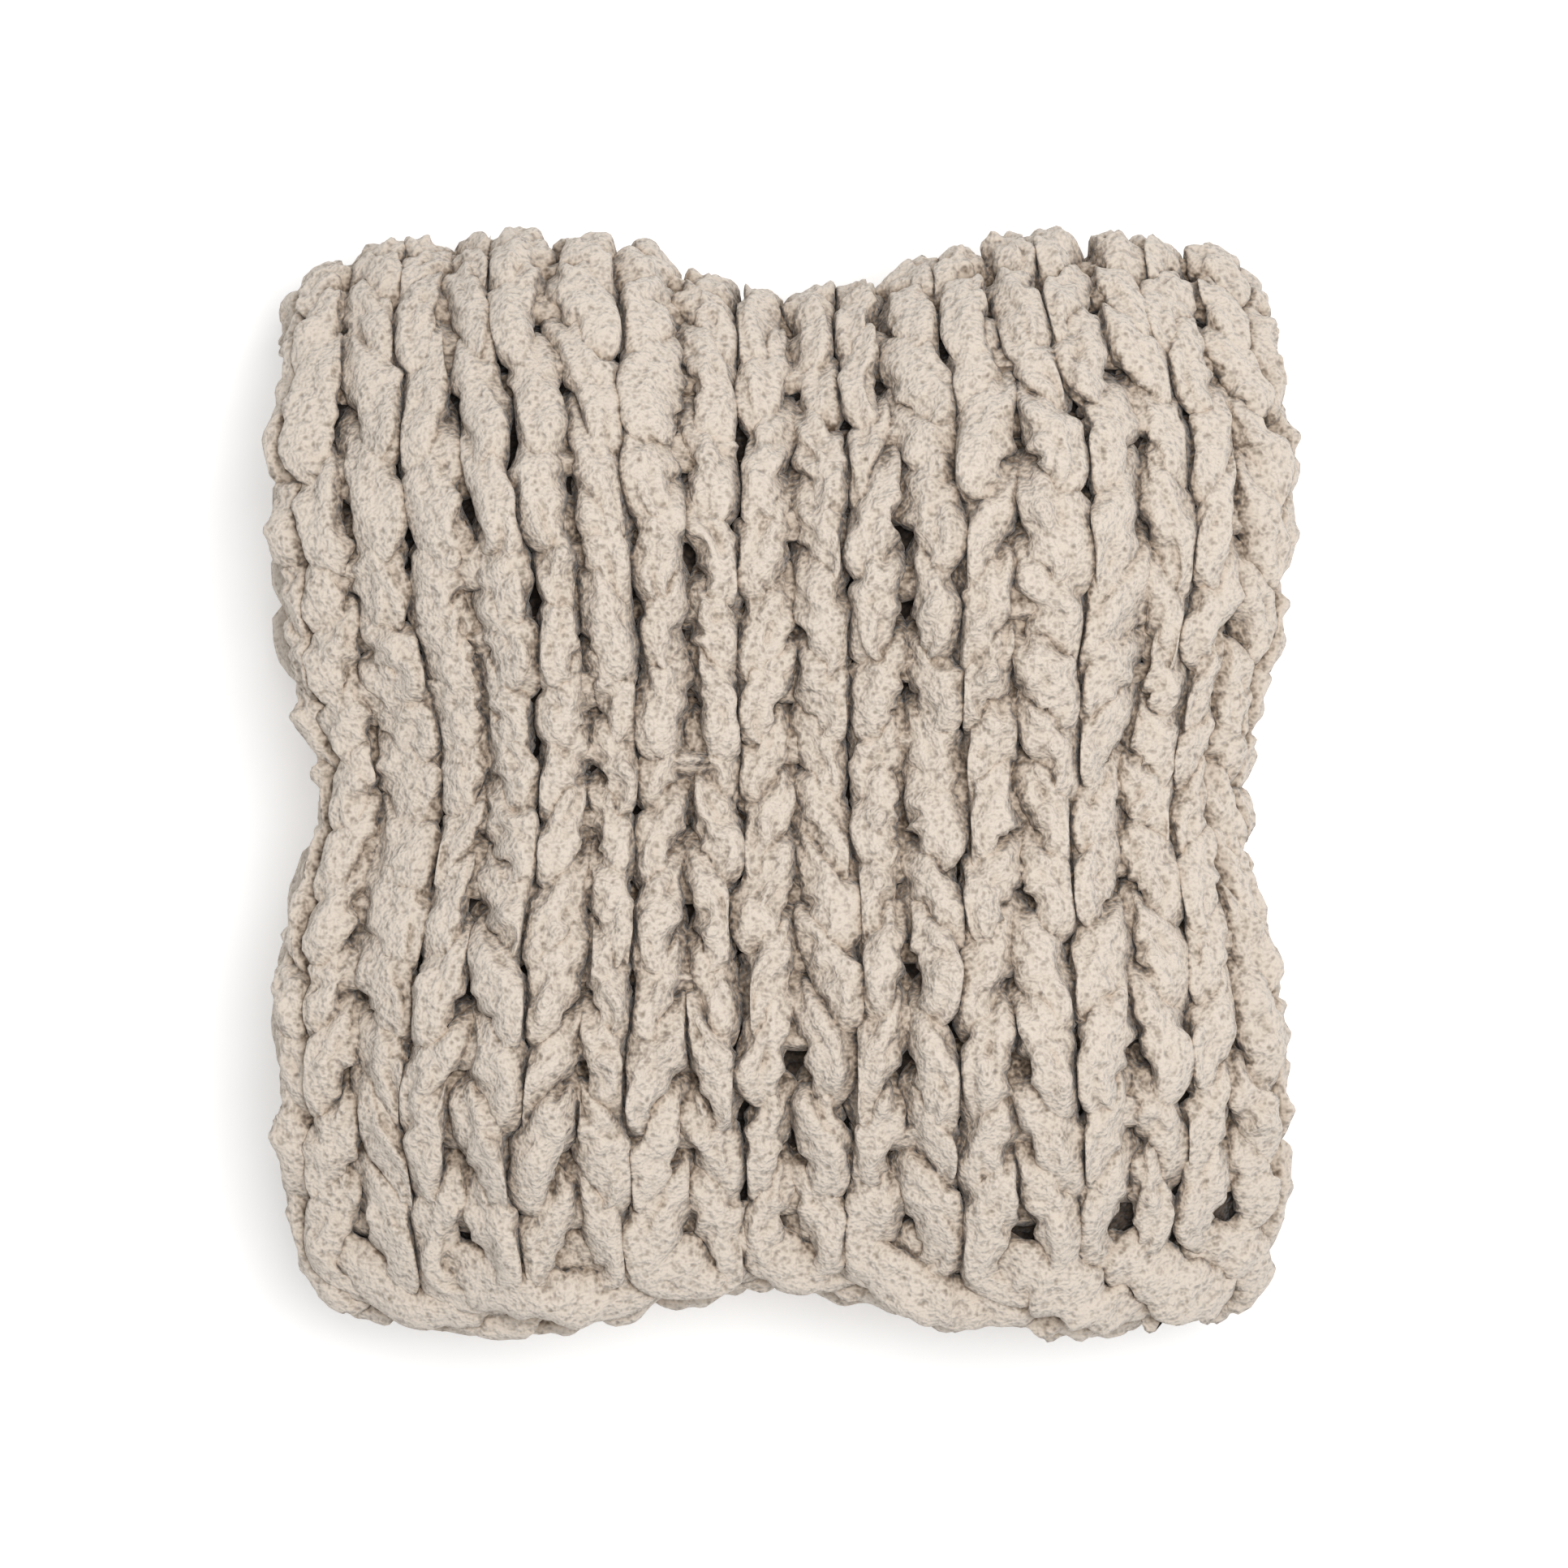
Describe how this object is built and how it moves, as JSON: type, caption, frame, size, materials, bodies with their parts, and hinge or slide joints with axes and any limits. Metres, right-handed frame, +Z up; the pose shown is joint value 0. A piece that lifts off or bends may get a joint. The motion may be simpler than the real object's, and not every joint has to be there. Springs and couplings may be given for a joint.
{
  "type": "folded chunky knit throw blanket",
  "caption": "Chunky knit throw of fat chenille yarn in plain stocking stitch, folded across and then along into a soft rectangular pile for a shelf, sofa or bed.",
  "frame": {"origin": "centre of the folded pile's footprint, on the surface it lies on", "axes": "+Z up; +Y along the knit columns, from the free cast-on edge to the far fold; +X across the columns, to the right when the cast-on edge is nearest"},
  "size_m": [0.3408, 0.3758, 0.1404],
  "materials": {
    "chenille_yarn": "matt, velvety chenille pile in a warm oatmeal beige"
  },
  "bodies": {
    "root": {"blanket": "chenille_yarn"}
  },
  "joints": []
}
